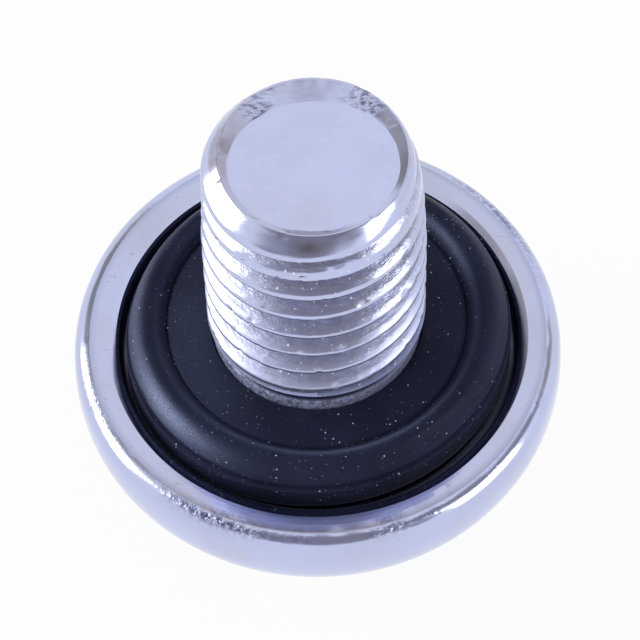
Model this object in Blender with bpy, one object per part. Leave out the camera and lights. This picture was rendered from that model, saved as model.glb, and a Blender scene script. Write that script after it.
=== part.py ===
"""Oil drain plug: a steel plug with a round recessed flange, and the rubber seal that lies in the flange.

The plug stands on the end of its wrench hexagon, thread up, with the middle of that face at the origin.
Units are metres and +Z is up.
"""
import math

import bmesh
import bpy
from mathutils import Matrix

MM = 0.001

# Wrench hexagon
HEX_ACROSS_FLATS = 15.0 * MM
HEX_HEIGHT = 7.5 * MM
HEX_END_INSET = 0.4 * MM
HEX_CHAMFER_ANGLE = math.radians(30.0)

# Flange
FLANGE_THICKNESS = 5.6 * MM
FLANGE_BULGE = 0.93 * MM
FLANGE_WIDEST_DROP = 2.0 * MM
FLANGE_SHOULDER_ANGLE = math.radians(18.0)
FLANGE_FOOT_INSET = 2.4 * MM
FLANGE_UNDERSIDE_RISE = 0.15 * MM
RIM_LAND_WIDTH = 1.4 * MM
RIM_EDGE_BREAK = 0.05 * MM
RECESS_MOUTH_WIDTH = 0.14 * MM
RECESS_MOUTH_DROP = 0.14 * MM
RECESS_DEPTH = 1.6 * MM
RECESS_CORNER = 0.2 * MM

# Thread, M12 x 1.75, right-hand
THREAD_DIAMETER = 11.96 * MM
THREAD_PITCH = 1.75 * MM
THREAD_LENGTH = 13.6 * MM
THREAD_RUNOUT_TURNS = 0.75
THREAD_START_ANGLE = math.radians(-164.0)

# Undercut neck and collar below the thread
NECK_WIDTH = 0.8 * MM
NECK_DEPTH = 0.95 * MM
COLLAR_DIAMETER = 11.6 * MM
COLLAR_SHOW = 0.73 * MM

# End of the shank
LEAD_TAPER_WIDTH = 0.25 * MM
LEAD_TAPER_LENGTH = 5.6 * MM
END_SHOULDER_WIDTH = 0.73 * MM
END_SHOULDER_DROP = 1.35 * MM
END_RIM_WIDTH = 0.7 * MM
END_DISH = 0.34 * MM

# Rubber seal
SEAL_DIAMETER = 21.4 * MM
SEAL_BODY_HEIGHT = 2.72 * MM
SEAL_WEB_SLOPE = 0.1 * MM
SEAL_BEAD_WIDTH = 2.2 * MM
SEAL_BEAD_HEIGHT = 0.72 * MM
SEAL_BEAD_CREST_INSET = 1.0 * MM
SEAL_SIDE_GROOVE_HEIGHT = 0.5 * MM
SEAL_SIDE_GROOVE_DEPTH = 0.4 * MM
SEAL_BORE_CHAMFER = 0.2 * MM

# Clearances between the seal and the plug
SEAL_BORE_GAP = 0.3 * MM
SEAL_WALL_GAP = 0.4 * MM
SEAL_SEAT_GAP = 0.3 * MM

# Faceting
SIDES = 64
ARC_STEPS = 6
SHARP_ANGLE = math.radians(25.0)

# Thread form, from the pitch alone
THREAD_FLANK_ANGLE = math.radians(30.0)
THREAD_DEPTH = 0.6134 * THREAD_PITCH
THREAD_CREST = THREAD_PITCH / 8
THREAD_OVERCUT = THREAD_PITCH / 16

# Radii
THREAD_R = THREAD_DIAMETER / 2
THREAD_ROOT_R = THREAD_R - THREAD_DEPTH
NECK_R = THREAD_R - NECK_DEPTH
COLLAR_R = COLLAR_DIAMETER / 2
LEAD_R = THREAD_R - LEAD_TAPER_WIDTH
END_RIM_R = LEAD_R - END_SHOULDER_WIDTH
END_FACE_R = END_RIM_R - END_RIM_WIDTH
SEAL_R = SEAL_DIAMETER / 2
SEAL_BORE_R = COLLAR_R + SEAL_BORE_GAP
RECESS_R = SEAL_R + SEAL_WALL_GAP
MOUTH_R = RECESS_R + RECESS_MOUTH_WIDTH
CREASE_R = MOUTH_R + RIM_LAND_WIDTH
FLANGE_R = CREASE_R + FLANGE_BULGE

# Heights
UNDERSIDE_Z = HEX_HEIGHT
RIM_Z = UNDERSIDE_Z + FLANGE_THICKNESS
RECESS_FLOOR_Z = RIM_Z - RECESS_DEPTH
SEAL_BOTTOM_Z = RECESS_FLOOR_Z + SEAL_SEAT_GAP
SEAL_WEB_Z = SEAL_BOTTOM_Z + SEAL_BODY_HEIGHT
COLLAR_TOP_Z = SEAL_WEB_Z + COLLAR_SHOW
THREAD_BOTTOM_Z = COLLAR_TOP_Z + NECK_WIDTH
END_Z = THREAD_BOTTOM_Z + THREAD_LENGTH


def clear_scene():
    """Removes whatever objects the open file holds."""
    for item in list(bpy.data.objects):
        bpy.data.objects.remove(item, do_unlink=True)


def material(name, colour, metallic, roughness):
    """A plain Principled material."""
    made = bpy.data.materials.new(name)
    made.use_nodes = True
    shader = made.node_tree.nodes["Principled BSDF"]
    shader.inputs["Base Color"].default_value = (*colour, 1.0)
    shader.inputs["Metallic"].default_value = metallic
    shader.inputs["Roughness"].default_value = roughness
    made.diffuse_color = (*colour, 1.0)
    return made


def shade(mesh):
    """Smooth shading that keeps every corner of more than SHARP_ANGLE crisp."""
    mesh.shade_smooth()
    mesh.set_sharp_from_angle(angle=SHARP_ANGLE)


def object_from(bm, name):
    """Puts a bmesh into a new object whose faces point outwards."""
    bmesh.ops.recalc_face_normals(bm, faces=bm.faces)
    mesh = bpy.data.meshes.new(name)
    bm.to_mesh(mesh)
    bm.free()
    shade(mesh)
    made = bpy.data.objects.new(name, mesh)
    bpy.context.collection.objects.link(made)
    return made


def turned(name, profile, closed=False):
    """Spins a profile of (radius, height) points about Z. An open profile starts and ends on the axis."""
    bm = bmesh.new()
    verts = [bm.verts.new((radius, 0.0, height)) for radius, height in profile]
    edges = [bm.edges.new(pair) for pair in zip(verts, verts[1:])]
    if closed:
        edges.append(bm.edges.new((verts[-1], verts[0])))
    bmesh.ops.spin(
        bm,
        geom=verts + edges,
        cent=(0.0, 0.0, 0.0),
        axis=(0.0, 0.0, 1.0),
        angle=2 * math.pi,
        steps=SIDES,
        use_merge=True,
    )
    bmesh.ops.remove_doubles(bm, verts=bm.verts, dist=0.001 * MM)
    return object_from(bm, name)


def ellipse_arc(centre, half_width, half_height, start, end, steps):
    """Points on an ellipse in (radius, height), by angle from the outward direction."""
    points = []
    for step in range(steps + 1):
        angle = start + (end - start) * step / steps
        radius = centre[0] + half_width * math.cos(angle)
        height = centre[1] + half_height * math.sin(angle)
        points.append((radius, height))
    return points


def cubic_curve(start, leave, arrive, end, steps):
    """Points on the cubic curve from start to end, whose handles are leave and arrive."""
    points = []
    for step in range(steps + 1):
        t = step / steps
        shares = ((1 - t) ** 3, 3 * t * (1 - t) ** 2, 3 * t * t * (1 - t), t**3)
        points.append(
            tuple(
                sum(share * point[axis] for share, point in zip(shares, (start, leave, arrive, end)))
                for axis in range(2)
            )
        )
    return points


def boolean(target, other, operation):
    """Adds an exact Boolean with a second solid, which becomes a guide."""
    modifier = target.modifiers.new(other.name, "BOOLEAN")
    modifier.operation = operation
    modifier.solver = "EXACT"
    modifier.object = other
    other.hide_render = True
    other.display_type = "WIRE"


def finish(target, guides):
    """Applies the Booleans, so that the edges they cut can be shaded crisp, and removes the guides."""
    depsgraph = bpy.context.evaluated_depsgraph_get()
    mesh = bpy.data.meshes.new_from_object(target.evaluated_get(depsgraph))
    mesh.name = target.name
    target.modifiers.clear()
    target.data = mesh
    shade(mesh)
    for guide in guides:
        bpy.data.objects.remove(guide, do_unlink=True)


def flange_side():
    """The bulged edge of the flange, from the crease over the widest place to the foot on the underside.

    It leaves the crease at the shoulder angle, stands upright at the widest place and ends level at the foot.
    """
    widest_z = RIM_Z - FLANGE_WIDEST_DROP
    foot_z = UNDERSIDE_Z + FLANGE_UNDERSIDE_RISE
    shoulder_reach = 0.75 * FLANGE_BULGE
    upper = cubic_curve(
        (CREASE_R, RIM_Z),
        (
            CREASE_R + shoulder_reach * math.cos(FLANGE_SHOULDER_ANGLE),
            RIM_Z - shoulder_reach * math.sin(FLANGE_SHOULDER_ANGLE),
        ),
        (FLANGE_R, widest_z + 0.72 * FLANGE_WIDEST_DROP),
        (FLANGE_R, widest_z),
        ARC_STEPS,
    )
    lower = cubic_curve(
        (FLANGE_R, widest_z),
        (FLANGE_R, widest_z - 0.52 * (widest_z - foot_z)),
        (FLANGE_R - 0.32 * FLANGE_FOOT_INSET, foot_z),
        (FLANGE_R - FLANGE_FOOT_INSET, foot_z),
        ARC_STEPS,
    )
    return upper + lower[1:]


def turned_blank():
    """Flange, recess, collar, neck and shank as one turned solid, before the thread is rolled."""
    shoulder_z = END_Z - END_SHOULDER_DROP
    shoulder = cubic_curve(
        (END_RIM_R, END_Z),
        (END_RIM_R + 0.45 * END_SHOULDER_WIDTH, END_Z - 0.25 * END_SHOULDER_DROP),
        (LEAD_R - 0.1 * END_SHOULDER_WIDTH, shoulder_z + 0.4 * END_SHOULDER_DROP),
        (LEAD_R, shoulder_z),
        ARC_STEPS,
    )
    neck_ramp = NECK_WIDTH / 4
    side = flange_side()
    crease_in = (CREASE_R - RIM_EDGE_BREAK, RIM_Z)
    crease_out = (side[0][0], side[0][1] - RIM_EDGE_BREAK)
    profile = [
        (0.0, END_Z - END_DISH),
        (END_FACE_R, END_Z - END_DISH),
    ]
    profile += shoulder
    profile += [
        (THREAD_R, shoulder_z - LEAD_TAPER_LENGTH),
        (THREAD_R, THREAD_BOTTOM_Z),
        (NECK_R, THREAD_BOTTOM_Z - neck_ramp),
        (NECK_R, COLLAR_TOP_Z + neck_ramp),
        (COLLAR_R - neck_ramp, COLLAR_TOP_Z),
        (COLLAR_R, COLLAR_TOP_Z - neck_ramp / 2),
        (COLLAR_R, RECESS_FLOOR_Z),
        (RECESS_R - RECESS_CORNER, RECESS_FLOOR_Z),
        (RECESS_R, RECESS_FLOOR_Z + RECESS_CORNER),
        (RECESS_R, RIM_Z - RECESS_MOUTH_DROP),
        (MOUTH_R, RIM_Z),
        crease_in,
        crease_out,
    ]
    profile += side[1:]
    profile += [
        (HEX_ACROSS_FLATS / 2, UNDERSIDE_Z),
        (0.0, UNDERSIDE_Z),
    ]
    return turned("plug_body", profile)


def wrench_hexagon():
    """Hexagonal prism with its corners turned off at the end face, sunk a little into the flange."""
    corner_r = HEX_ACROSS_FLATS / math.sqrt(3)
    sink = FLANGE_THICKNESS / 5
    height = HEX_HEIGHT + sink
    bm = bmesh.new()
    bmesh.ops.create_cone(
        bm,
        cap_ends=True,
        segments=6,
        radius1=corner_r,
        radius2=corner_r,
        depth=height,
        matrix=Matrix.Translation((0.0, 0.0, height / 2)),
    )
    prism = object_from(bm, "hexagon_prism")

    end_r = HEX_ACROSS_FLATS / 2 - HEX_END_INSET
    outer_r = corner_r * 1.2
    chamfer_rise = (outer_r - end_r) * math.tan(HEX_CHAMFER_ANGLE)
    cone = turned(
        "hexagon_chamfer",
        [
            (0.0, height + sink),
            (outer_r, height + sink),
            (outer_r, chamfer_rise),
            (end_r, 0.0),
            (0.0, 0.0),
        ],
    )
    boolean(prism, cone, "INTERSECT")
    finish(prism, [cone])
    return prism


def thread_groove():
    """The V groove between the crests, swept along a right-hand helix and fading out above the neck."""
    rise_per_step = THREAD_PITCH / SIDES
    runout_steps = round(THREAD_RUNOUT_TURNS * SIDES)
    runout_end_z = THREAD_BOTTOM_Z - THREAD_CREST / 2
    top_z = END_Z + THREAD_PITCH
    steps = math.ceil((top_z - runout_end_z) / rise_per_step)
    mouth_r = THREAD_R + THREAD_OVERCUT
    spread = math.tan(THREAD_FLANK_ANGLE)
    mouth_half = (THREAD_PITCH - THREAD_CREST) / 2 + THREAD_OVERCUT * spread

    bm = bmesh.new()
    sections = []
    for step in range(steps + 1):
        angle = THREAD_START_ANGLE + 2 * math.pi * step / SIDES
        height = runout_end_z + rise_per_step * step
        fade = max(0.0, 1.0 - step / runout_steps)
        lift = THREAD_DEPTH * fade
        out_r = mouth_r + lift
        root_r = THREAD_ROOT_R + lift
        root_half = mouth_half - (out_r - root_r) * spread
        corners = (
            (out_r, -mouth_half),
            (root_r, -root_half),
            (root_r, root_half),
            (out_r, mouth_half),
        )
        sections.append(
            [
                bm.verts.new((r * math.cos(angle), r * math.sin(angle), height + dz))
                for r, dz in corners
            ]
        )
    for low, high in zip(sections, sections[1:]):
        for side in range(4):
            after = (side + 1) % 4
            bm.faces.new((low[side], low[after], high[after], high[side]))
    bm.faces.new(reversed(sections[0]))
    bm.faces.new(sections[-1])
    return object_from(bm, "thread_groove")


def plug_body():
    """The steel plug: turned blank, joined to its hexagon, with the thread cut in."""
    body = turned_blank()
    hexagon = wrench_hexagon()
    groove = thread_groove()
    boolean(body, hexagon, "UNION")
    boolean(body, groove, "DIFFERENCE")
    finish(body, [hexagon, groove])
    body.data.materials.append(material("zinc_plated_steel", (0.74, 0.76, 0.84), 1.0, 0.24))
    return body


def rubber_seal():
    """The moulded ring: a nearly flat web, a round bead above the rim and a groove in the side below it."""
    bead_inner_r = SEAL_R - SEAL_BEAD_WIDTH
    crest_r = SEAL_R - SEAL_BEAD_CREST_INSET
    web_outer_z = SEAL_WEB_Z + SEAL_WEB_SLOPE
    groove_top_z = RIM_Z + SEAL_SIDE_GROOVE_HEIGHT * 1.5
    groove_bottom_z = groove_top_z - SEAL_SIDE_GROOVE_HEIGHT
    groove_r = SEAL_R - SEAL_SIDE_GROOVE_DEPTH
    crest_z = web_outer_z + SEAL_BEAD_HEIGHT
    inner_side = ellipse_arc(
        (crest_r, web_outer_z), crest_r - bead_inner_r, SEAL_BEAD_HEIGHT, math.pi, math.pi / 2, ARC_STEPS
    )
    outer_side = ellipse_arc(
        (crest_r, groove_top_z), SEAL_R - crest_r, crest_z - groove_top_z, math.pi / 2, 0.0, ARC_STEPS
    )
    profile = [
        (SEAL_BORE_R, SEAL_BOTTOM_Z),
        (SEAL_BORE_R, SEAL_WEB_Z - SEAL_BORE_CHAMFER),
        (SEAL_BORE_R + SEAL_BORE_CHAMFER, SEAL_WEB_Z),
    ]
    profile += inner_side + outer_side[1:]
    profile += [
        (groove_r, groove_top_z - SEAL_SIDE_GROOVE_HEIGHT / 5),
        (groove_r, groove_bottom_z + SEAL_SIDE_GROOVE_HEIGHT / 5),
        (SEAL_R, groove_bottom_z),
        (SEAL_R, SEAL_BOTTOM_Z + SEAL_BORE_CHAMFER),
        (SEAL_R - SEAL_BORE_CHAMFER, SEAL_BOTTOM_Z),
    ]
    seal = turned("rubber_seal", profile, closed=True)
    seal.data.materials.append(material("black_rubber", (0.03, 0.03, 0.04), 0.0, 0.42))
    return seal


def build():
    """Models both pieces in an empty scene."""
    clear_scene()
    plug_body()
    rubber_seal()


build()
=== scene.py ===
"""Oil drain plug on a white studio floor: a plated steel plug with a rubber seal let into its flange."""
import math

import bpy
import numpy as np
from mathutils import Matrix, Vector, noise


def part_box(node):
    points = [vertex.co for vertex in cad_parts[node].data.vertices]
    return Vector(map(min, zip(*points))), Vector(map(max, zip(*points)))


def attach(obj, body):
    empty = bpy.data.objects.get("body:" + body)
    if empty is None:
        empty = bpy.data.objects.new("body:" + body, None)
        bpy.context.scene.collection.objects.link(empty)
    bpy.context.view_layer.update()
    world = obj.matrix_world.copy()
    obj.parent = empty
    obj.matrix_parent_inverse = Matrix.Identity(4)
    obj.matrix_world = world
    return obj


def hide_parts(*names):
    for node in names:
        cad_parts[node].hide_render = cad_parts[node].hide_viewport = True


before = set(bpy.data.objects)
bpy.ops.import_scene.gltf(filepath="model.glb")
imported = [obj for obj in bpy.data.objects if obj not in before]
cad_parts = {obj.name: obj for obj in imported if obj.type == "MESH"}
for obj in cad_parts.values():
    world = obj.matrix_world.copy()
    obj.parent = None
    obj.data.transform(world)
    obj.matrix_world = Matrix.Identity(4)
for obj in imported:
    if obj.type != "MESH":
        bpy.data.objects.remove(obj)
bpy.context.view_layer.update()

bl_info = {
    "name": "Oil Drain Plug",
    "version": (1, 0, 0),
    "blender": (4, 5, 0),
    "location": "3D View > Sidebar > Drain Plug",
    "description": "Builds a plated drain plug with its rubber seal and the studio that shows it",
    "category": "Object",
}

# Shapes are worked out in millimetres, and COLUMNS is the number of points round each ring
MM = 0.001
COLUMNS = 320
SHARP_ANGLE = math.radians(42.0)
PLUG_LOW, PLUG_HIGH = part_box("plug_body")
SEAL_LOW, SEAL_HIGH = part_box("rubber_seal")


# Settings


class PlugSettings(bpy.types.PropertyGroup):
    """Sizes and finish of the steel plug."""

    hexagon_across_flats: bpy.props.FloatProperty(
        name="Hexagon Across Flats", description="Width of the wrench hexagon", default=0.015, unit="LENGTH"
    )
    hexagon_height: bpy.props.FloatProperty(
        name="Hexagon Height", description="From the end face to the flange", default=0.0075, unit="LENGTH"
    )
    flange_diameter: bpy.props.FloatProperty(
        name="Flange Diameter",
        description="Widest size of the bulged flange",
        default=PLUG_HIGH[0] - PLUG_LOW[0],
        unit="LENGTH",
    )
    rim_height: bpy.props.FloatProperty(
        name="Rim Height",
        description="Height of the flat land round the recess",
        default=0.0131,
        unit="LENGTH",
    )
    thread_diameter: bpy.props.FloatProperty(
        name="Thread Diameter", description="Outside diameter of the thread", default=0.01196, unit="LENGTH"
    )
    thread_pitch: bpy.props.FloatProperty(
        name="Thread Pitch", description="Rise of the thread in one turn", default=0.00175, unit="LENGTH"
    )
    thread_start: bpy.props.FloatProperty(
        name="Thread Start",
        description="Where the groove runs out above the neck",
        default=math.radians(-164.0),
        subtype="ANGLE",
    )
    overall_height: bpy.props.FloatProperty(
        name="Overall Height", description="Hexagon end to shank end", default=PLUG_HIGH[2], unit="LENGTH"
    )
    plating_colour: bpy.props.FloatVectorProperty(
        name="Plating Colour",
        description="Colour of the clean bluish plating",
        default=(0.53, 0.57, 0.82),
        subtype="COLOR",
        min=0.0,
        max=1.0,
    )
    worn_colour: bpy.props.FloatVectorProperty(
        name="Worn Colour",
        description="Colour of the brownish grey where the plating is thin",
        default=(0.37, 0.37, 0.47),
        subtype="COLOR",
        min=0.0,
        max=1.0,
    )
    gloss_roughness: bpy.props.FloatProperty(
        name="Plating Roughness", description="Roughness of the clean plating", default=0.12, subtype="FACTOR"
    )


class SealSettings(bpy.types.PropertyGroup):
    """Sizes and finish of the rubber seal."""

    diameter: bpy.props.FloatProperty(
        name="Seal Diameter",
        description="Outside diameter of the ring",
        default=SEAL_HIGH[0] - SEAL_LOW[0],
        unit="LENGTH",
    )
    bore: bpy.props.FloatProperty(
        name="Seal Bore", description="Hole that hugs the collar", default=0.01168, unit="LENGTH"
    )
    web_height: bpy.props.FloatProperty(
        name="Web Height", description="Height of the flat inner web", default=0.01452, unit="LENGTH"
    )
    bead_width: bpy.props.FloatProperty(
        name="Bead Width", description="Width of the raised bead", default=0.0022, unit="LENGTH"
    )
    rubber_colour: bpy.props.FloatVectorProperty(
        name="Rubber Colour",
        description="Near black of the moulded rubber",
        default=(0.0135, 0.0155, 0.034),
        subtype="COLOR",
        min=0.0,
        max=1.0,
    )
    dust: bpy.props.FloatProperty(
        name="Dust", description="How much pale dust lies on the rubber", default=0.5, subtype="FACTOR"
    )


class StudioSettings(bpy.types.PropertyGroup):
    """The floor, the lamps and the camera."""

    left_lamp: bpy.props.FloatProperty(
        name="Left Softbox", description="Power of the softbox on the left", default=0.36, unit="POWER"
    )
    right_lamp: bpy.props.FloatProperty(
        name="Right Softbox",
        description="Power of the softbox at the front right",
        default=0.15,
        unit="POWER",
    )
    room_light: bpy.props.FloatProperty(
        name="Room Light", description="Strength of the even light all round", default=0.75, subtype="FACTOR"
    )
    lens: bpy.props.FloatProperty(
        name="Lens", description="Focal length of the camera", default=179.6, unit="CAMERA"
    )


# Shapes


def soft_min(a, b, width):
    """The smaller of two arrays, rounded where they cross."""
    share = np.clip(0.5 + 0.5 * (b - a) / width, 0.0, 1.0)
    return b * (1 - share) + a * share - width * share * (1 - share)


def soft_max(a, b, width):
    """The larger of two arrays, rounded where they cross."""
    return -soft_min(-a, -b, width)


def bell(value, middle, width):
    """1 where the value is at the middle, falling off softly over the width on both sides."""
    return np.exp(-(((value - middle) / width) ** 2))


def ramp(value, start, width):
    """0 up to the start, then climbs to 1 over the width."""
    return np.clip((value - start) / width, 0.0, 1.0)


def apart(angle, middle):
    """Degrees from the middle to the angle, between -180 and 180."""
    return (angle - middle + 180.0) % 360.0 - 180.0


def cubic(start, leave, arrive, end, steps):
    """Points on a cubic curve between start and end, whose handles are leave and arrive."""
    t = np.linspace(0.0, 1.0, steps + 1)[:, None]
    start, leave, arrive, end = (np.array(p, float) for p in (start, leave, arrive, end))
    curve = (1 - t) ** 3 * start + 3 * t * (1 - t) ** 2 * leave + 3 * t * t * (1 - t) * arrive + t**3 * end
    return [tuple(p) for p in curve]


def filleted(corners, steps=4):
    """A profile of (radius, height, fillet) corners with each fillet drawn as an arc."""
    out = []
    for index, (r, z, fillet) in enumerate(corners):
        here = np.array((r, z))
        if fillet <= 0.0 or index in (0, len(corners) - 1):
            out.append((r, z))
            continue
        before = np.array(corners[index - 1][:2]) - here
        after = np.array(corners[index + 1][:2]) - here
        before_length, after_length = np.linalg.norm(before), np.linalg.norm(after)
        before /= before_length
        after /= after_length
        half = math.acos(float(np.clip(before @ after, -1.0, 1.0))) / 2
        reach = min(fillet / math.tan(half), 0.45 * before_length, 0.45 * after_length)
        for step in range(steps + 1):
            t = step / steps
            point = here + before * reach * (1 - t) ** 2 + after * reach * t**2
            out.append(tuple(point))
    return out


def divided(points, longest):
    """The same profile with every stretch cut to the longest length given."""
    out = [points[0]]
    for a, b in zip(points, points[1:]):
        parts = max(1, math.ceil(math.dist(a, b) / longest))
        for part in range(1, parts + 1):
            t = part / parts
            out.append((a[0] + (b[0] - a[0]) * t, a[1] + (b[1] - a[1]) * t))
    return out


class Skin:
    """A closed skin built ring by ring from one pole to the other, in millimetres."""

    def __init__(self):
        self.points = []
        self.faces = []
        self.angles = 2 * math.pi * np.arange(COLUMNS) / COLUMNS

    def ring(self, radius, height):
        """Adds one ring of points and gives their numbers."""
        radius = np.broadcast_to(np.asarray(radius, float), (COLUMNS,))
        height = np.broadcast_to(np.asarray(height, float), (COLUMNS,))
        first = len(self.points)
        xs, ys = radius * np.cos(self.angles), radius * np.sin(self.angles)
        self.points.extend(zip(xs, ys, height))
        return list(range(first, first + COLUMNS))

    def band(self, low, high):
        """Joins two rings with a band of faces."""
        for i in range(COLUMNS):
            j = (i + 1) % COLUMNS
            self.faces.append((low[i], low[j], high[j], high[i]))

    def pole(self, ring, height, up):
        """Closes a ring with a fan round a point on the axis."""
        self.points.append((0.0, 0.0, height))
        middle = len(self.points) - 1
        for i in range(COLUMNS):
            j = (i + 1) % COLUMNS
            self.faces.append((ring[i], ring[j], middle) if up else (ring[j], ring[i], middle))

    def rings(self, rows, start=None):
        """Adds a run of rings joined by bands, and gives the last."""
        last = start
        for radius, height in rows:
            now = self.ring(radius, height)
            if last is not None:
                self.band(last, now)
            last = now
        return last


def mesh_object(name, skin, material, marks, move):
    """Makes a smooth-shaded object from a skin, with its points moved and its marks kept as attributes."""
    points = np.array(skin.points)
    mesh = bpy.data.meshes.new(name)
    mesh.from_pydata(points * MM, [], skin.faces)
    mesh.update()
    normals = np.empty(len(points) * 3, dtype=np.float32)
    mesh.vertices.foreach_get("normal", normals)
    points = points + normals.reshape(-1, 3).astype(float) * move(points)[:, None]
    mesh.vertices.foreach_set("co", (points * MM).astype(np.float32).ravel())
    mesh.update()
    for mark, values in marks(points).items():
        layer = mesh.attributes.new(mark, "FLOAT", "POINT")
        layer.data.foreach_set("value", np.asarray(values, dtype=np.float32))
    mesh.shade_smooth()
    mesh.set_sharp_from_angle(angle=SHARP_ANGLE)
    mesh.materials.append(material)
    made = bpy.data.objects.new(name, mesh)
    bpy.context.collection.objects.link(made)
    return made


def noise_at(points, scale, seed):
    """Smooth noise from -1 to 1 at each point, at so many waves per millimetre."""
    shift = Vector((17.3 * seed, 9.1 * seed, 5.7 * seed))
    return np.array([noise.noise(Vector(p) * scale + shift) for p in points])


def bump_spot(points, centre, size):
    """A round spot that falls off to nothing at its size."""
    distance = np.linalg.norm(points - np.array(centre), axis=1) / size
    return np.clip(1.0 - distance**2, 0.0, 1.0) ** 2


def hexagon_radius(angles, across_flats, rounding):
    """Radius of a hexagon with two flats square to X and slightly rounded corners."""
    turned = (angles + math.pi / 6) % (math.pi / 3) - math.pi / 6
    near = np.cos(turned)
    other = np.cos(math.pi / 3 - np.abs(turned))
    return across_flats / 2 / soft_max(near, other, rounding)


# Steel plug

# The thread's form: depth, crest and how far the first groove's middle lies below the thread's bottom,
# as shares of the pitch, and the slope of the flanks
THREAD_DEPTH = 0.6134
CREST_WIDTH = 0.17
FIRST_GROOVE = 0.31
FLANK_SLOPE = math.tan(math.radians(30.0))
# Where the rows of points lie within one turn, as shares of the pitch, closest at the crest's edges
ROW_PHASES = (
    0.0, 0.05, 0.12, 0.22, 0.31, 0.35, 0.385, 0.42, 0.46, 0.54, 0.58, 0.615, 0.65, 0.69, 0.78, 0.88, 0.95
)
# How far below the shank's end the climbing rows stop, and how near the rings at either end they may come
ROWS_STOP = 0.35
ROWS_CLEAR = 0.025
# Rise of the flange's underside from the hexagon to the foot of its bulged side
FOOT_RISE = 0.15
# Chamfer of the hexagon's end face, and the fillet where the hexagon meets the flange
CHAMFER_WIDTH = 0.4
CHAMFER_SLOPE = math.tan(math.radians(30.0))
FILLET_WIDTH, FILLET_HEIGHT = 0.3, 0.35
# The lip round the end face, as steps out and down from its rim
LIP_STEPS = ((0.025, 0.045), (-0.01, 0.015), (-0.05, 0.0), (-0.09, 0.008), (-0.13, 0.028))
# Scuffed places on the flange's crease: where and how wide in degrees, and how strong
CREASE_SCUFFS = ((-117.0, 12.0, 1.0), (-74.0, 4.0, 0.8), (35.0, 14.0, 0.7), (-160.0, 10.0, 0.4))
# The dent in the flange's edge at the front right
DENT_RADIUS, DENT_ANGLE, DENT_SIZE, DENT_DEPTH = 12.3, math.radians(-58), 0.34, 0.07


def shank_outline(sizes):
    """Heights and radii of the shank without its thread: a long slight taper, then the rounded shoulder."""
    outer, end = sizes["outer"], sizes["end"]
    lead = outer - sizes["taper_width"]
    width, drop = sizes["shoulder_width"], sizes["shoulder_drop"]
    curve = cubic(
        (lead - width, end),
        (lead - 0.55 * width, end - 0.25 * drop),
        (lead - 0.1 * width, end - 0.6 * drop),
        (lead, end - drop),
        40,
    )
    curve.append((outer, end - drop - sizes["taper_length"]))
    curve.append((outer, sizes["bottom"] - 1.0))
    radii, heights = zip(*reversed(curve))
    return np.array(heights), np.array(radii)


def end_bulge(angles, heights, sizes):
    """How far the shank's end stands out of round: its rim lies off the middle, its right side is leaner."""
    below = sizes["end"] - heights
    across, along = np.cos(angles), np.sin(angles)
    right = np.clip(across + 0.25, 0.0, 1.0)
    shift = np.clip(1.0 - below / 0.8, 0.0, 1.0) * (0.13 * across + 0.2 * along)
    full = 0.1 * (1.0 - right) * bell(below, 0.85, 0.35)
    lean = 0.17 * right * bell(below, 1.0, 1.1)
    return shift + full - lean


def face_radius(across, along, sizes):
    """Radius of the sunk end face, a little off the middle, from the direction's cosine and sine."""
    return sizes["face_r"] + 0.125 * across - 0.215 * along + 0.13 * (across**2 - along**2)


def thread_radius(angles, heights, sizes):
    """Radius of the threaded shank at each angle and height, rounded shoulder included."""
    pitch, outer, end = sizes["pitch"], sizes["outer"], sizes["end"]
    depth, crest = THREAD_DEPTH * pitch, CREST_WIDTH * pitch
    start_z = sizes["bottom"] - FIRST_GROOVE * pitch
    turns = ((angles - sizes["start"]) % (2 * math.pi)) / (2 * math.pi)
    nearest = np.maximum(np.round((heights - start_z) / pitch - turns), 0.0) + turns
    off = np.abs(heights - start_z - pitch * nearest)
    begins = np.clip(1.0 - nearest / sizes["runout"], 0.0, 1.0)
    ends = np.clip((start_z + pitch * nearest - end + 2.1) / 2.6, 0.0, 0.92)
    lift = depth * np.maximum(begins, ends)
    root_half = (pitch - crest) / 2 - depth * FLANK_SLOPE
    flank = outer - depth + lift + (off - root_half) / FLANK_SLOPE
    groove = soft_max(np.full_like(off, outer - depth) + lift, flank, 0.16)
    outline = np.interp(heights, *shank_outline(sizes)) + end_bulge(angles, heights, sizes)
    rounding = 0.15 + 0.1 * ramp(heights - end, -6.5, 4.0)
    return soft_min(outline, groove, rounding)


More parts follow.
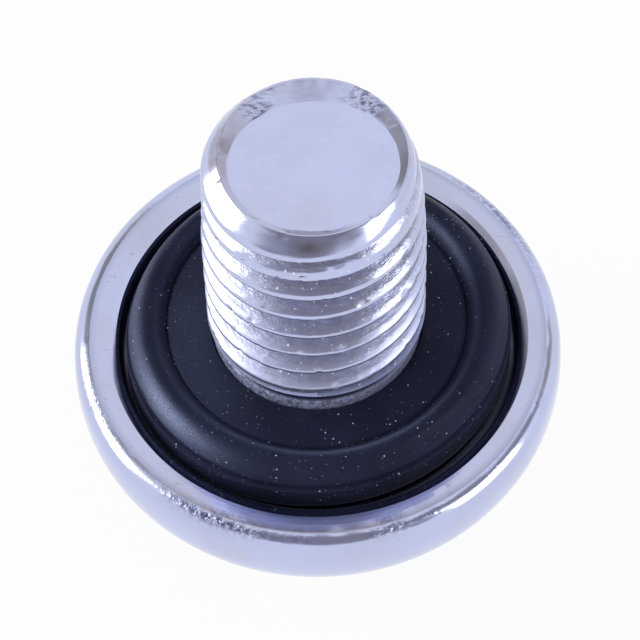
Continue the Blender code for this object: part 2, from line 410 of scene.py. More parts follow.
def threaded_rows(skin, low_ring, sizes):
    """Adds the rows that climb with the helix, and gives the ring where they end."""
    pitch, low_z, high_z = sizes["pitch"], sizes["bottom"], sizes["end"] - ROWS_STOP
    count = len(ROW_PHASES)
    base = low_z - FIRST_GROOVE * pitch - pitch * sizes["start"] / (2 * math.pi)
    while base > low_z - pitch:
        base -= pitch
    rows = 0
    while base + pitch * (rows // count) < high_z + 2 * pitch:
        rows += 1
    high_ring = skin.ring(thread_radius(skin.angles, np.full(COLUMNS, high_z), sizes), high_z)
    numbers = {}
    for i in range(COLUMNS):
        heights = np.array(
            [base + pitch * (j // count + ROW_PHASES[j % count] + i / COLUMNS) for j in range(rows)]
        )
        inside = (heights > low_z + ROWS_CLEAR) & (heights < high_z - ROWS_CLEAR)
        angle = skin.angles[i]
        radii = thread_radius(np.full(rows, angle), heights, sizes)
        for j in range(rows):
            if inside[j]:
                numbers[i, j] = len(skin.points)
                skin.points.append((radii[j] * math.cos(angle), radii[j] * math.sin(angle), heights[j]))
            else:
                numbers[i, j] = low_ring[i] if heights[j] < (low_z + high_z) / 2 else high_ring[i]
    for i in range(COLUMNS):
        for j in range(rows - count - 1):
            if i + 1 < COLUMNS:
                beside, above = numbers[i + 1, j], numbers[i + 1, j + 1]
            else:
                beside, above = numbers[0, j + count], numbers[0, j + count + 1]
            corners = (numbers[i, j], beside, above, numbers[i, j + 1])
            kept = [c for k, c in enumerate(corners) if c != corners[k - 1]]
            if len(set(kept)) >= 3:
                skin.faces.append(tuple(kept))
    return high_ring


def hexagon_rows(angles, sizes):
    """Rows from the hexagon's end face, up its flats and out under the flange."""
    hexagon = hexagon_radius(angles, sizes["flats"], 0.02)
    end_r, under = sizes["flats"] / 2 - CHAMFER_WIDTH, sizes["under"]
    chamfer = (hexagon - end_r) * CHAMFER_SLOPE
    rows = [(r, 0.0) for r in (1.5, 3.0, 4.5, 6.0, 6.9, end_r - 0.05)]
    for share in (0.03, 0.1, 0.35, 0.65, 0.9, 0.97):
        rows.append((end_r + (hexagon - end_r) * share, chamfer * share))
    rows.append((hexagon, chamfer + 0.03))
    for share in (0.04, 0.12, 0.3, 0.5, 0.7, 0.88):
        rows.append((hexagon, chamfer + (under - FILLET_HEIGHT - chamfer) * share))
    for out, down in ((0.0, FILLET_HEIGHT), (0.02, 0.22), (0.07, 0.12), (0.16, 0.05), (FILLET_WIDTH, 0.01)):
        rows.append((hexagon + out, under - down))
    for share in (0.25, 0.55, 0.85):
        reach = (sizes["foot_r"] - FILLET_WIDTH - hexagon) * share
        rows.append((hexagon + FILLET_WIDTH + reach, under + FOOT_RISE * share))
    return rows


def flange_side(sizes):
    """Profile of the bulged side, from its foot over the widest place to the crease."""
    crease, widest, rim = sizes["crease_r"], sizes["flange_r"], sizes["rim"]
    foot_r, foot_z = sizes["foot_r"], sizes["under"] + FOOT_RISE
    lower = cubic((foot_r, foot_z), (foot_r + 1.63, foot_z), (widest, rim - 3.8), (widest, rim - 2.0), 16)
    upper = cubic((widest, rim - 2.0), (widest, rim - 0.56), (crease + 0.66, rim - 0.21), (crease, rim), 20)
    return lower + upper[1:-1]


def recess_profile(start, sizes):
    """Rounded profile from the flange's side over the land, through the recess and up the neck."""
    crease, recess, rim = sizes["crease_r"], sizes["recess_r"], sizes["rim"]
    floor, dip = sizes["floor"], sizes["land_dip"]
    collar, top = sizes["collar_r"], sizes["collar_top"]
    neck, outer, bottom = sizes["neck_r"], sizes["outer"], sizes["bottom"]
    return filleted(
        [
            (*start, 0.0),
            (crease, rim, 0.1),
            (crease - 0.44, rim - 0.05 * dip, 0.3),
            (crease - 0.74, rim - 0.22 * dip, 0.3),
            (crease - 0.98, rim - 0.45 * dip, 0.3),
            (recess + 0.14, rim - dip - 0.09, 0.05),
            (recess, rim - dip - 0.24, 0.1),
            (recess, floor, 0.25),
            (collar, floor, 0.2),
            (collar, top - 0.75, 0.0),
            (collar - 0.12, top - 0.05, 0.08),
            (collar - 0.3, top + 0.04, 0.06),
            (neck, top + 0.2, 0.15),
            (neck, bottom - 0.2, 0.15),
            (outer - 0.05, bottom - 0.02, 0.0),
            (outer, bottom, 0.0),
        ]
    )


def end_rows(skin, last, sizes):
    """Adds the shank's end above the thread: lip, sloping ring and dished face."""
    end, dish = sizes["end"], sizes["dish"]
    for below in (0.29, 0.23, 0.18, 0.13, 0.09):
        z = end - below
        last = skin.rings([(thread_radius(skin.angles, np.full(COLUMNS, z), sizes), z)], last)
    across, along = np.cos(skin.angles), np.sin(skin.angles)
    points = np.stack([across, along, np.zeros(COLUMNS)], axis=1)
    ragged = 0.05 * noise_at(points * 4.3, 1.0, 21) + 0.05 * noise_at(points * 4.3, 0.35, 22)
    face_r = face_radius(across, along, sizes) + ragged
    rim_r = sizes["outer"] - sizes["taper_width"] - sizes["shoulder_width"]
    rim_r = rim_r + end_bulge(skin.angles, end, sizes)
    last = skin.rings([(rim_r + out, end - down) for out, down in LIP_STEPS], last)
    lip_out, lip_down = LIP_STEPS[-1]
    inner = rim_r + lip_out
    depth = 0.02 + 0.42 * (inner - face_r)
    for share in (0.12, 0.4, 0.7, 0.88, 0.96, 1.0):
        last = skin.rings([(inner + (face_r - inner) * share, end - lip_down - depth * share)], last)
    for share in (0.985, 0.93, 0.8, 0.65, 0.5, 0.35, 0.2, 0.1):
        blend = share**2
        last = skin.rings([(face_r * share, end - dish + (dish - 0.036 - depth) * blend)], last)
    skin.pole(last, end - dish, up=True)


def plug_skin(sizes):
    """The whole steel plug as one skin, from the middle of the hexagon's end face to the shank's."""
    skin = Skin()
    last = skin.rings(hexagon_rows(skin.angles, sizes))
    skin.pole(list(range(COLUMNS)), 0.0, up=False)
    side = flange_side(sizes)
    last = skin.rings(side, last)
    recess, land_width = sizes["recess_r"], sizes["crease_r"] - sizes["recess_r"]
    for r, z in divided(recess_profile(side[-1], sizes), 0.6)[1:-1]:
        near = 1.0 - abs(r - recess) / land_width
        off = 0.08 * max(0.0, near) * np.cos(skin.angles)
        last = skin.rings([(r + off, z)], last)
    low_ring = skin.ring(sizes["outer"], sizes["bottom"])
    skin.band(last, low_ring)
    end_rows(skin, threaded_rows(skin, low_ring, sizes), sizes)
    return skin


def plug_sizes(settings):
    """Every size of the plug in millimetres, from the settings."""
    rim = settings.rim_height / MM
    outer = settings.thread_diameter / MM / 2
    flange = settings.flange_diameter / MM / 2
    return {
        "flats": settings.hexagon_across_flats / MM,
        "under": settings.hexagon_height / MM,
        "rim": rim,
        "flange_r": flange,
        "foot_r": flange - 2.4,
        "crease_r": flange - 0.93,
        "recess_r": flange - 2.47,
        "floor": rim - 1.6,
        "collar_r": 5.8,
        "collar_top": rim + 1.88,
        "neck_r": outer - 0.95,
        "outer": outer,
        "bottom": rim + 2.95,
        "end": settings.overall_height / MM,
        "pitch": settings.thread_pitch / MM,
        "start": settings.thread_start,
        "runout": 0.3,
        "taper_width": 0.25,
        "taper_length": 5.6,
        "shoulder_width": 0.73,
        "shoulder_drop": 1.35,
        "face_r": 4.285,
        "dish": 0.3,
        "land_dip": 0.13,
    }


def plug_marks(sizes):
    """The function that gives each point of the plug its marks: where it is threaded or scuffed, and where
    shade, light and brown reflections are painted.
    """

    def marks(points):
        radius = np.hypot(points[:, 0], points[:, 1])
        height = points[:, 2]
        angle = np.degrees(np.arctan2(points[:, 1], points[:, 0]))
        end, bottom, rim, top = sizes["end"], sizes["bottom"], sizes["rim"], sizes["collar_top"]
        crease_r, recess_r = sizes["crease_r"], sizes["recess_r"]

        # The shank: its thread, and the end's ring and face
        thread = ramp(height - bottom, -0.9, 0.05) * ramp(end - 0.5 - height, 0.0, 0.8)
        outline = np.interp(height, *shank_outline(sizes))
        root = thread * ramp(outline - 0.1 - radius, 0.0, 0.75)
        lower = thread * ramp(end - 4.5 - height, 0.0, 8.0)
        edge = (height > top) * ramp(bottom + 0.4 - height, 0.0, 0.1)
        shared = np.maximum(radius, 0.1)
        face_r = face_radius(points[:, 0] / shared, points[:, 1] / shared, sizes)
        face = (radius < face_r - 0.1) * (height > end - 0.5) * 1.0
        ring = ramp(radius - face_r, 0.02, 0.06) * ramp(height - end, -0.42, 0.05)
        rubs = 0.8 * ring * (bell(angle, 50.0, 14.0) + 0.8 * bell(angle, 128.0, 10.0))

        # The flange: its crease, the line along it and the land inside
        crease = bell(radius - crease_r, 0.3, 0.26) * (height > rim - 0.9)
        line = bell(radius, crease_r, 0.05) * (height > rim - 0.3)
        patches = np.clip(noise_at(points, 0.6, 3) * 1.8 - 0.1, 0.0, 1.0)
        places = sum(much * bell(angle, middle, wide) for middle, wide, much in CREASE_SCUFFS)
        scuff = crease * np.clip(0.25 * patches + places, 0.0, 1.0)
        land = ramp(radius - recess_r, 0.1, 0.1) * (radius < crease_r - 0.02) * (height > rim - 0.3)

        # Painted brown reflections: of the camera at the front of the shoulder, and at the left of the ring and
        # along the front of the crease
        brown_reflection = bell(angle, -93.0, 7.0) * bell(height - end, -0.4, 0.2) * (radius > 4.9)
        brown_reflection = brown_reflection + 0.55 * ring * bell(apart(angle, 172.0), 0.0, 30.0)
        brown_reflection = brown_reflection + 0.8 * line * bell(angle, -95.0, 45.0)

        # The speckled collar, its left side painted lighter as if lit from the left, and painted shade on the
        # neck and the recess wall
        collar = ramp(height - top, -1.2, 0.1) * ramp(top + 0.06 - height, 0.0, 0.05)
        collar = collar * (radius < 6.0) * (radius > 5.3)
        pale = np.clip((-45.0 - angle) / 45.0, 0.25, 1.0)
        neck = ramp(5.6 - radius, 0.0, 0.06) * (height > top - 0.15) * (height < bottom - 0.03)
        wall = (np.abs(radius - recess_r) < 0.4) * (height > sizes["floor"] - 0.1) * (height < rim - 0.35)
        return {
            "thread": thread,
            "root": root,
            "lower": lower,
            "edge": edge,
            "face": face,
            "ring": ring,
            "rubs": rubs,
            "line": line,
            "scuff": scuff,
            "land": land,
            "brown_reflection": brown_reflection,
            "collar": collar,
            "pale": pale,
            "neck": np.maximum(neck, wall),
        }

    return marks


def plug_unevenness(sizes):
    """The function that moves each point of the plug a little along its normal, as rolling and handling did."""

    def move(points):
        radius = np.hypot(points[:, 0], points[:, 1])
        height = points[:, 2]
        thread = (height > sizes["bottom"]) & (height < sizes["end"] - 1.0)
        outline = np.interp(height, *shank_outline(sizes))
        crest = thread * ramp(radius - outline, -0.2, 0.15)
        wave = noise_at(points, 0.35, 1) * 0.012 * ramp(height, 0.0, 0.6)
        fine = noise_at(points, 2.2, 2)
        nick = np.clip(noise_at(points, 1.7, 5) - 0.3, 0.0, 1.0) * 0.2
        moved = wave + thread * fine * 0.009 - crest * nick
        crease = bell(radius, sizes["crease_r"], 0.16) * (height > sizes["rim"] - 0.5)
        moved -= crease * np.clip(noise_at(points, 0.9, 7) - 0.1, 0.0, 1.0) * 0.1
        shank_end = ramp(height - sizes["end"], -0.3, 0.2) * (radius > sizes["face_r"] + 0.1)
        moved -= shank_end * np.clip(noise_at(points, 1.3, 8) - 0.15, 0.0, 1.0) * 0.09
        dent = (DENT_RADIUS * math.cos(DENT_ANGLE), DENT_RADIUS * math.sin(DENT_ANGLE), sizes["rim"])
        moved -= DENT_DEPTH * bump_spot(points, dent, DENT_SIZE)
        return moved * (height > 0.01)

    return move


# Rubber seal

# Radii of the seal's features in millimetres, and the height above which a point is on its upper side
BEAD_SIDE, BEAD_SLOPE, WEB_CREASE, WEB_EDGE = 10.05, 8.8, 8.28, 8.2
UPPER_SIDE = 14.0
# Dusty places round the seal: where and how wide in degrees, and how strong
DUSTY_PLACES = (
    (30.0, 16.0, 1.0),
    (-128.0, 14.0, 0.8),
    (-85.0, 16.0, 0.6),
    (-55.0, 12.0, 0.5),
    (178.0, 14.0, 0.4),
)


def bead_shift(angles):
    """How far the bead stands out at each angle: near the recess at the right and left, less elsewhere."""
    turned = angles - math.radians(26.0)
    return 0.23 * np.cos(2 * turned) + 0.09 * np.cos(turned) - 0.16


def seal_skin(settings):
    """The rubber ring as one closed skin: bore, web, crease, rounded bead, side groove and hidden underside."""
    outer = settings.diameter / MM / 2
    bore = settings.bore / MM / 2
    web = settings.web_height / MM
    bottom = SEAL_LOW[2] / MM
    top = SEAL_HIGH[2] / MM
    inner = outer - settings.bead_width / MM
    groove = top - 1.49
    crest, peak = outer - 1.25, top - 0.22
    foot, side = (inner - 0.12, web + 0.06), (outer - 0.2, groove + 0.05)
    rise = cubic(foot, (inner + 0.2, web + 0.2), (crest - 0.55, peak), (crest, peak), 14)
    fall = cubic((crest, peak), (crest + 0.45, peak), (outer - 0.4, peak - 0.75), side, 14)
    corners = [
        (bore + 1.0, bottom, 0.0),
        (bore, bottom, 0.12),
        (bore, web, 0.1),
        (inner - 0.42, web, 0.05),
        (inner - 0.27, web - 0.09, 0.05),
        *((r, z, 0.0) for r, z in rise + fall[1:]),
        (outer - 0.18, groove - 0.02, 0.08),
        (outer - 0.42, groove - 0.12, 0.1),
        (outer - 0.42, groove - 0.4, 0.1),
        (outer, groove - 0.5, 0.12),
        (outer, bottom, 0.2),
        (bore + 1.05, bottom, 0.0),
    ]
    skin = Skin()
    shift = bead_shift(skin.angles)
    rows = []
    for r, z in divided(filleted(corners, 6), 0.28):
        share = max(0.0, (r - inner) / (outer - inner)) ** 0.7
        rows.append((r + share * shift, z))
    first = skin.ring(*rows[0])
    last = skin.rings(rows[1:-1], first)
    skin.band(last, first)
    return skin


def seal_marks(points):
    """How dusty each point of the rubber is, where sheen is painted on the bead and web, and where shade is
    painted in the crease beside the bead.
    """
    radius = np.hypot(points[:, 0], points[:, 1])
    angle = np.degrees(np.arctan2(points[:, 1], points[:, 0]))
    turned = (angle + 360.0) % 360.0
    upper = points[:, 2] > UPPER_SIDE
    dusty = sum(much * bell(apart(angle, middle), 0.0, wide) for middle, wide, much in DUSTY_PLACES)
    # Painted sheen: the bead's outer side at the lower left, its inner slope towards the back right and the
    # front, and the web at the left, lightened where lamp light catches them
    side = bell(radius, BEAD_SIDE, 0.33) * upper
    painted_sheen = side * (1.25 * bell(turned, 214.0, 18.0) + 0.35 * bell(turned, 175.0, 24.0))
    slope = bell(radius, BEAD_SLOPE, 0.22) * upper
    lit = 0.15 + 0.6 * bell(angle, 32.0, 20.0) + 0.3 * bell(angle, -75.0, 45.0)
    web = (radius < WEB_EDGE) * bell(turned, 185.0, 45.0)
    return {
        "dusty": np.clip(0.15 + dusty, 0.0, 1.0),
        "painted_sheen": painted_sheen + slope * lit + 0.12 * web,
        "crease": bell(radius, WEB_CREASE, 0.07) * upper,
    }


def seal_unevenness(points):
    """Moves the rubber's skin a little, as a moulded and handled ring has it."""
    return noise_at(points, 0.3, 11) * 0.018 + noise_at(points, 1.6, 12) * 0.004


# Materials


class Nodes:
    """A short way to write a material's nodes."""

    def __init__(self, tree):
        self.tree = tree

    def add(self, kind, **settings):
        """Adds a node with its settings."""
        made = self.tree.nodes.new(kind)
        for name, value in settings.items():
            setattr(made, name, value)
        return made

    def put(self, value, socket):
        """Sets a socket, or links another socket to it."""
        if isinstance(value, bpy.types.NodeSocket):
            self.tree.links.new(value, socket)
        else:
            socket.default_value = value

    def math(self, operation, a, b):
        """One sum on two numbers or sockets."""
        node = self.add("ShaderNodeMath", operation=operation)
        self.put(a, node.inputs[0])
        self.put(b, node.inputs[1])
        return node.outputs[0]

    def times(self, a, b):
        return self.math("MULTIPLY", a, b)

    def plus(self, a, b):
        return self.math("ADD", a, b)

    def larger(self, a, b):
        return self.math("MAXIMUM", a, b)

    def mix(self, share, a, b):
        """Mixes two colours."""
        node = self.add("ShaderNodeMix", data_type="RGBA")
        self.put(share, node.inputs["Factor"])
        self.put(a if isinstance(a, bpy.types.NodeSocket) else (*a, 1.0), node.inputs["A"])
        self.put(b if isinstance(b, bpy.types.NodeSocket) else (*b, 1.0), node.inputs["B"])
        return node.outputs["Result"]

    def blend(self, share, a, b):
        """Mixes two shaders."""
        node = self.add("ShaderNodeMixShader")
        for value, socket in zip((share, a, b), node.inputs):
            self.put(value, socket)
        return node.outputs[0]

    def ranged(self, value, low, high, out_low=0.0, out_high=1.0):
        """Maps low to high onto out_low to out_high, and holds the ends."""
        node = self.add("ShaderNodeMapRange", clamp=True)
        for socket, number in zip(node.inputs, (value, low, high, out_low, out_high)):
            self.put(number, socket)
        return node.outputs[0]

    def stretched(self, place, scales):
        """The place with each axis scaled by itself, which draws marks out along the axes scaled least."""
        node = self.add("ShaderNodeVectorMath", operation="MULTIPLY")
        self.put(place, node.inputs[0])
        node.inputs[1].default_value = scales
        return node.outputs[0]

    def noise(self, place, scale, detail=2.0, roughness=0.5):
        """Smooth noise from 0 to 1."""
        node = self.add("ShaderNodeTexNoise")
        self.put(place, node.inputs["Vector"])
        node.inputs["Scale"].default_value = scale
        node.inputs["Detail"].default_value = detail
        node.inputs["Roughness"].default_value = roughness
        return node.outputs["Fac"]

    def dots(self, place, scale, size, chosen_above, shift):
        """Round dots in space, at most one a cell, kept where the cell's own number is high enough."""
        moved = self.add("ShaderNodeVectorMath", operation="ADD")
        self.put(place, moved.inputs[0])
        moved.inputs[1].default_value = (shift, 0.7 * shift, 0.3 * shift)
        cells = self.add("ShaderNodeTexVoronoi", feature="F1")
        self.put(moved.outputs[0], cells.inputs["Vector"])
        cells.inputs["Scale"].default_value = scale
        dot = self.ranged(cells.outputs["Distance"], 0.55 * size, size, 1.0, 0.0)
        parts = self.add("ShaderNodeSeparateColor")
        self.put(cells.outputs["Color"], parts.inputs["Color"])
        return self.times(dot, self.math("GREATER_THAN", parts.outputs["Red"], chosen_above))

    def mark(self, name):
        """A mark kept on the mesh."""
        return self.add("ShaderNodeAttribute", attribute_name=name).outputs["Fac"]

    def bump(self, height, strength, distance, below=None):
        """A normal tilted by a height, on top of the normal below if there is one."""
        node = self.add("ShaderNodeBump")
        self.put(height, node.inputs["Height"])
        node.inputs["Strength"].default_value = strength
        node.inputs["Distance"].default_value = distance
        if below is not None:
            self.put(below, node.inputs["Normal"])
        return node.outputs["Normal"]


def new_material(name):
    """A material with its nodes, its shader and the place of each point in millimetres."""
    made = bpy.data.materials.new(name)
    made.use_nodes = True
    nodes = Nodes(made.node_tree)
    shader = made.node_tree.nodes["Principled BSDF"]
    place = nodes.add("ShaderNodeTexCoord").outputs["Object"]
    scaled = nodes.add("ShaderNodeVectorMath", operation="SCALE")
    nodes.put(place, scaled.inputs[0])
    scaled.inputs["Scale"].default_value = 1 / MM
    return made, nodes, shader, scaled.outputs[0]


# Colours of the marks on the plating, of its painted shade and of its painted brown reflections
DULLED = (0.48, 0.50, 0.62)
SCUFFED = (0.07, 0.08, 0.18)
LAND = (0.46, 0.47, 0.62)
SCRATCHED = (0.2, 0.22, 0.42)
SMEARED = (0.68, 0.72, 0.9)
SPECKS_DARK, SPECKS_PALE = (0.09, 0.10, 0.19), (0.44, 0.48, 0.72)
NECK_SHADE = (0.02, 0.025, 0.07)
BROWN_REFLECTION = (0.24, 0.18, 0.16)
GLINT = (0.9, 0.92, 1.0)


def plated_steel(settings):
    """Bluish zinc plating: even on the flange, streaked in the thread, brownish where it is worn thin, with
    painted shade in the thread roots, on the neck and on the recess wall, a painted lighter left side on the
    collar and painted brown reflections.
    """
    made, nodes, shader, place = new_material("bluish_zinc_plating")
    thread, root = nodes.mark("thread"), nodes.mark("root")
    ring, scuff, rubs = nodes.mark("ring"), nodes.mark("scuff"), nodes.mark("rubs")
    land, face = nodes.mark("land"), nodes.mark("face")
    collar, neck = nodes.mark("collar"), nodes.mark("neck")
    broad = nodes.noise(place, 0.22, 3.0)
    middle = nodes.noise(place, 1.3, 4.0, 0.6)
    blotch = nodes.noise(place, 3.2, 3.0, 0.55)
    fine = nodes.noise(place, 9.0, 3.0, 0.6)
    streaks = nodes.noise(nodes.stretched(place, (1.0, 1.0, 5.0)), 1.6, 4.0, 0.6)
    long_marks = nodes.noise(nodes.stretched(place, (1.0, 2.6, 2.6)), 2.1, 3.0, 0.5)
    smears = nodes.noise(nodes.stretched(place, (1.0, 1.7, 1.0)), 0.9, 5.0, 0.65)

    clean, worn = tuple(settings.plating_colour), tuple(settings.worn_colour)
    greyer = tuple(0.5 * c + 0.5 * m for c, m in zip(clean, DULLED))
    # dark is the worn colour darkened, used for the painted shade in the thread roots
    dark = tuple(0.55 * c for c in worn)
    colour = nodes.mix(nodes.ranged(broad, 0.4, 0.7), clean, greyer)
    flank = nodes.ranged(root, 0.03, 0.25)
    patchy = nodes.times(flank, nodes.ranged(streaks, 0.4, 0.62))
    colour = nodes.mix(nodes.times(patchy, 0.55), colour, worn)
    # Painted shade: the thread roots darkened in mottled patches
    root_shade = nodes.times(root, nodes.ranged(middle, 0.35, 0.62, 0.1, 0.7))
    colour = nodes.mix(root_shade, colour, dark)
    rubbed = nodes.times(scuff, nodes.ranged(blotch, 0.4, 0.56))
    rubbed = nodes.larger(rubbed, nodes.times(rubs, nodes.ranged(long_marks, 0.5, 0.58)))
    rubbed = nodes.larger(rubbed, nodes.times(nodes.mark("line"), 0.3))
    colour = nodes.mix(rubbed, colour, SCUFFED)
    stained = nodes.times(ring, nodes.ranged(broad, 0.38, 0.6, 0.08, 0.3))
    colour = nodes.mix(stained, colour, worn)
    greyed = nodes.times(land, nodes.ranged(broad, 0.35, 0.65, 0.3, 0.6))
    colour = nodes.mix(greyed, colour, LAND)
    scratched = nodes.times(land, nodes.ranged(long_marks, 0.67, 0.72, 0.0, 0.4))
    colour = nodes.mix(scratched, colour, SCRATCHED)
    smeared = nodes.times(face, nodes.ranged(smears, 0.5, 0.72, 0.0, 0.2))
    colour = nodes.mix(smeared, colour, SMEARED)
    grain = nodes.ranged(nodes.noise(place, 4.5, 4.0, 0.65), 0.4, 0.6)
    # Painted light: the collar's speckles turn paler towards the left, as if lit from that side
    speckled = nodes.mix(nodes.times(grain, nodes.mark("pale")), SPECKS_DARK, SPECKS_PALE)
    colour = nodes.mix(nodes.times(collar, 0.9), colour, speckled)
    # Painted shade: the neck under the thread and the recess wall made near black
    colour = nodes.mix(neck, colour, NECK_SHADE)
    # Painted brown reflections on the shoulder's front, the ring's left and the crease's front
    brown_reflected = nodes.times(nodes.mark("brown_reflection"), nodes.ranged(middle, 0.3, 0.6, 0.5, 1.0))
    colour = nodes.mix(brown_reflected, colour, BROWN_REFLECTION)
    sparks = nodes.larger(nodes.dots(place, 2.1, 0.18, 0.7, 31.0), nodes.dots(place, 4.2, 0.22, 0.7, 83.0))
    glints = nodes.times(sparks, nodes.larger(thread, scuff))
    colour = nodes.mix(glints, colour, GLINT)
    nodes.put(colour, shader.inputs["Base Color"])

    rough = nodes.ranged(broad, 0.3, 0.7, settings.gloss_roughness, settings.gloss_roughness + 0.06)
    band = nodes.larger(collar, nodes.mark("edge"))
    for where, more in ((patchy, 0.06), (nodes.mark("lower"), 0.28), (rubbed, 0.1), (band, 0.35)):
        rough = nodes.plus(rough, nodes.times(where, more))
    nodes.put(rough, shader.inputs["Roughness"])

    uneven = nodes.plus(nodes.times(flank, 0.9), 0.08)
    normal = nodes.bump(nodes.times(streaks, uneven), 0.45, 0.0001)
    normal = nodes.bump(nodes.times(fine, uneven), 0.15, 0.00004, normal)
    normal = nodes.bump(nodes.times(nodes.noise(place, 4.0, 3.0), scuff), 0.8, 0.00018, normal)
    normal = nodes.bump(nodes.times(long_marks, rubs), 0.5, 0.0001, normal)
    normal = nodes.bump(nodes.times(smears, face), 0.12, 0.0001, normal)
    nodes.put(normal, shader.inputs["Normal"])
    dulled = nodes.times(nodes.larger(collar, neck), 0.75)
    unmetallic = nodes.larger(nodes.times(glints, 0.8), dulled)
    nodes.put(nodes.math("SUBTRACT", 1.0, unmetallic), shader.inputs["Metallic"])
    return made


# Colours of what lies on the rubber, of the sheen painted on it, of the shade painted in its crease, and the
# tint of its own sheen
DUST_FILM_AND_SHEEN = (0.36, 0.42, 0.66)
CREASE_SHADE = (0.002, 0.002, 0.006)
DUST_FAINT, DUST_BRIGHT = (0.4, 0.43, 0.6), (0.6, 0.63, 0.8)
RUBBER_SHEEN = (0.55, 0.65, 1.0, 1.0)


def black_rubber(settings):
    """Moulded black rubber with a satin skin, a film and specks of dust, painted sheen on the bead and web, and
    painted shade in the crease beside the bead.
    """
    made, nodes, shader, place = new_material("satin_black_rubber")
    dusty = nodes.mark("dusty")
    broad = nodes.noise(place, 0.25, 3.0)
    fine = nodes.noise(place, 12.0, 2.0)
    dark = tuple(settings.rubber_colour)
    colour = nodes.mix(nodes.ranged(broad, 0.35, 0.7), dark, tuple(1.6 * c for c in dark))
    film = nodes.times(nodes.times(dusty, nodes.ranged(fine, 0.45, 0.75)), 0.03)
    # Painted sheen on the bead and web, mixed with the dust film into one pale bluish colour
    painted_sheen = nodes.times(nodes.mark("painted_sheen"), nodes.ranged(fine, 0.3, 0.7, 0.25, 0.6))
    colour = nodes.mix(nodes.plus(film, painted_sheen), colour, DUST_FILM_AND_SHEEN)
    # Painted shade: the crease where the web meets the bead is darkened
    colour = nodes.mix(nodes.times(nodes.mark("crease"), 0.8), colour, CREASE_SHADE)
    faint = nodes.dots(place, 3.6, 0.17, 1.0 - settings.dust, 3.0)
    drifts = nodes.times(nodes.ranged(nodes.noise(place, 0.9, 2.0), 0.35, 0.55), dusty)
    specks = nodes.times(faint, nodes.plus(drifts, 0.15))
    colour = nodes.mix(nodes.times(specks, 0.6), colour, DUST_FAINT)
    bright = nodes.dots(place, 2.6, 0.14, 1.0 - 0.5 * settings.dust, 47.0)
    near = nodes.ranged(nodes.plus(dusty, nodes.noise(place, 0.6)), 0.5, 0.9)
    colour = nodes.mix(nodes.times(nodes.times(bright, near), 0.85), colour, DUST_BRIGHT)
    nodes.put(colour, shader.inputs["Base Color"])
    nodes.put(nodes.ranged(broad, 0.3, 0.7, 0.34, 0.46), shader.inputs["Roughness"])
    shader.inputs["Specular IOR Level"].default_value = 0.09
    shader.inputs["Specular Tint"].default_value = RUBBER_SHEEN
    nodes.put(nodes.bump(fine, 0.12, 0.00004), shader.inputs["Normal"])
    return made


def studio_floor():
    """Pale floor that shows white to the camera and keeps a faint shadow."""
    made = bpy.data.materials.new("white_floor")
    made.use_nodes = True
    nodes = Nodes(made.node_tree)
    shader = made.node_tree.nodes["Principled BSDF"]
    shader.inputs["Base Color"].default_value = (0.9, 0.9, 0.9, 1.0)
    shader.inputs["Roughness"].default_value = 0.6
    shader.inputs["Specular IOR Level"].default_value = 0.2
    glow = nodes.add("ShaderNodeEmission")
    glow.inputs["Strength"].default_value = 1.0
    rays = nodes.add("ShaderNodeLightPath")
    seen = nodes.larger(rays.outputs["Is Camera Ray"], rays.outputs["Is Glossy Ray"])
    shown = nodes.blend(nodes.times(seen, 0.93), shader.outputs[0], glow.outputs[0])
    nodes.put(shown, made.node_tree.nodes["Material Output"].inputs["Surface"])
    return made


# Studio

# Darker parts of the room, each by azimuth, elevation, inner and outer half-angle in degrees, and colour
WALLS = (
    (90.0, 12.0, 5.0, 12.0, (0.40, 0.39, 0.40)),
    (145.0, 42.0, 6.0, 12.0, (0.45, 0.43, 0.38)),
    (163.0, 56.0, 5.0, 10.0, (0.50, 0.47, 0.42)),
    (28.0, 32.0, 6.0, 13.0, (0.42, 0.40, 0.34)),
    (6.0, 42.0, 7.0, 13.0, (0.34, 0.33, 0.34)),
    (-16.0, 50.0, 8.0, 14.0, (0.32, 0.31, 0.33)),
    (-45.0, 57.0, 10.0, 16.0, (0.32, 0.31, 0.33)),
    (-90.0, 47.0, 22.0, 36.0, (0.33, 0.31, 0.34)),
    (-128.0, 28.0, 6.0, 18.0, (0.40, 0.39, 0.44)),
    (-52.0, 28.0, 4.0, 12.0, (0.40, 0.39, 0.42)),
    (127.0, 29.0, 9.0, 16.0, (0.36, 0.35, 0.30)),
    (-140.0, 58.0, 7.0, 12.0, (0.34, 0.33, 0.35)),
)
# Places and sizes in metres, the camera's turn in degrees
LAMPS_AIM = (0.0, 0.0, 0.016)
LEFT_PLACE, LEFT_SIZE = (-0.226, 0.032, 0.108), (0.18, 0.175)
RIGHT_PLACE, RIGHT_SIZE = (0.205, -0.095, 0.1), (0.13, 0.15)
CAMERA_PLACE = (0.0, -0.0944023, 0.1627765)
CAMERA_TURN = (32.43717, 0.96861, -1.63549)
FLOOR_HALF = 1.5


def patch(nodes, direction, facing, narrow, wide):
    """How far a direction lies inside a soft round patch about another direction."""
    aim = Vector(facing).normalized()
    dot = nodes.add("ShaderNodeVectorMath", operation="DOT_PRODUCT")
    nodes.put(direction, dot.inputs[0])
    dot.inputs[1].default_value = aim
    return nodes.ranged(dot.outputs["Value"], math.cos(math.radians(wide)), math.cos(math.radians(narrow)))


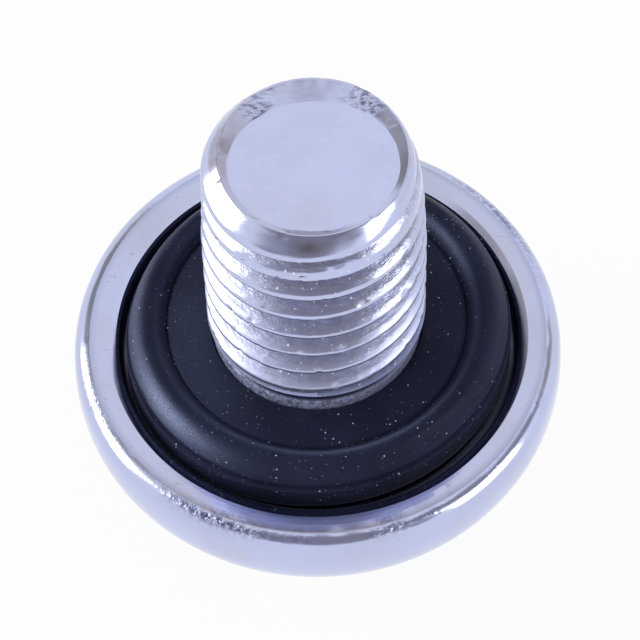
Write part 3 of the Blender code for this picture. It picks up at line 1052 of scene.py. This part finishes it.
def studio_world(settings):
    """White room seen by the camera, with a few greyer walls for the metal to mirror."""
    world = bpy.data.worlds.new("white_room")
    world.use_nodes = True
    tree = world.node_tree
    tree.nodes.clear()
    nodes = Nodes(tree)
    direction = nodes.add("ShaderNodeTexCoord").outputs["Generated"]
    colour = (1.0, 1.0, 1.0)
    for around, up, narrow, wide, wall in WALLS:
        around, up = math.radians(around), math.radians(up)
        facing = (math.cos(up) * math.cos(around), math.cos(up) * math.sin(around), math.sin(up))
        colour = nodes.mix(patch(nodes, direction, facing, narrow, wide), colour, wall)
    mirrored = nodes.add("ShaderNodeBackground")
    nodes.put(colour, mirrored.inputs["Color"])
    even = nodes.add("ShaderNodeBackground")
    even.inputs["Strength"].default_value = settings.room_light
    plain = nodes.add("ShaderNodeBackground")
    rays = nodes.add("ShaderNodeLightPath")
    unseen = nodes.blend(rays.outputs["Is Glossy Ray"], even.outputs[0], mirrored.outputs[0])
    room = nodes.blend(rays.outputs["Is Camera Ray"], unseen, plain.outputs[0])
    nodes.put(room, nodes.add("ShaderNodeOutputWorld").inputs["Surface"])
    return world


def softbox(name, power, place, size):
    """Adds a rectangular lamp that faces the plug."""
    lamp = bpy.data.lights.new(name, "AREA")
    lamp.shape = "RECTANGLE"
    lamp.size, lamp.size_y = size
    lamp.energy = power
    made = bpy.data.objects.new(name, lamp)
    made.location = place
    made.rotation_euler = (Vector(LAMPS_AIM) - Vector(place)).to_track_quat("-Z", "Y").to_euler()
    bpy.context.collection.objects.link(made)


# Operators


class DRAINPLUG_OT_plug(bpy.types.Operator):
    """Build the steel plug: hexagon, flange, recess, neck, thread and end face"""

    bl_idname = "drainplug.plug"
    bl_label = "Build Steel Plug"

    def execute(self, context):
        settings = context.scene.drain_plug
        sizes = plug_sizes(settings)
        piece = mesh_object(
            "steel_plug", plug_skin(sizes), plated_steel(settings), plug_marks(sizes), plug_unevenness(sizes)
        )
        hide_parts("plug_body")
        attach(piece, "root")
        return {"FINISHED"}


class DRAINPLUG_OT_seal(bpy.types.Operator):
    """Build the rubber seal that lies in the flange"""

    bl_idname = "drainplug.seal"
    bl_label = "Build Rubber Seal"

    def execute(self, context):
        settings = context.scene.drain_plug_seal
        piece = mesh_object(
            "black_seal", seal_skin(settings), black_rubber(settings), seal_marks, seal_unevenness
        )
        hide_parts("rubber_seal")
        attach(piece, "root")
        return {"FINISHED"}


class DRAINPLUG_OT_studio(bpy.types.Operator):
    """Set up the floor, the white room, the lamps and the camera"""

    bl_idname = "drainplug.studio"
    bl_label = "Set Up Studio"

    def execute(self, context):
        settings = context.scene.drain_plug_studio
        mesh = bpy.data.meshes.new("studio_floor")
        corners = [(FLOOR_HALF * x, FLOOR_HALF * y, 0) for x, y in ((-1, -1), (1, -1), (1, 1), (-1, 1))]
        mesh.from_pydata(corners, [], [(0, 1, 2, 3)])
        mesh.materials.append(studio_floor())
        floor = bpy.data.objects.new("studio_floor", mesh)
        context.collection.objects.link(floor)
        context.scene.world = studio_world(settings)
        softbox("left_softbox", settings.left_lamp, LEFT_PLACE, LEFT_SIZE)
        softbox("right_softbox", settings.right_lamp, RIGHT_PLACE, RIGHT_SIZE)
        data = bpy.data.cameras.new("camera")
        data.lens = settings.lens
        data.sensor_width = 36.0
        data.dof.use_dof = False
        camera = bpy.data.objects.new("camera", data)
        camera.location = CAMERA_PLACE
        camera.rotation_euler = tuple(math.radians(a) for a in CAMERA_TURN)
        data.clip_start = 0.01
        context.collection.objects.link(camera)
        context.scene.camera = camera
        context.scene.view_settings.view_transform = "Standard"
        return {"FINISHED"}


class DRAINPLUG_PT_panel(bpy.types.Panel):
    """Lists the steps that build the drain plug"""

    bl_idname = "DRAINPLUG_PT_panel"
    bl_label = "Oil Drain Plug"
    bl_space_type = "VIEW_3D"
    bl_region_type = "UI"
    bl_category = "Drain Plug"

    def draw(self, context):
        for step in STEPS:
            self.layout.operator(step.bl_idname)


STEPS = (DRAINPLUG_OT_plug, DRAINPLUG_OT_seal, DRAINPLUG_OT_studio)
GROUPS = {"drain_plug": PlugSettings, "drain_plug_seal": SealSettings, "drain_plug_studio": StudioSettings}


def register():
    """Registers the settings, the operators and the panel."""
    for item in (*GROUPS.values(), *STEPS, DRAINPLUG_PT_panel):
        bpy.utils.register_class(item)
    for name, group in GROUPS.items():
        setattr(bpy.types.Scene, name, bpy.props.PointerProperty(type=group))


def unregister():
    """Takes the settings, the operators and the panel away again."""
    for name in GROUPS:
        delattr(bpy.types.Scene, name)
    for item in (DRAINPLUG_PT_panel, *STEPS, *GROUPS.values()):
        bpy.utils.unregister_class(item)


def main():
    """Builds every piece and the studio."""
    register()
    bpy.ops.drainplug.plug()
    bpy.ops.drainplug.seal()
    bpy.ops.drainplug.studio()


if __name__ == "__main__":
    main()
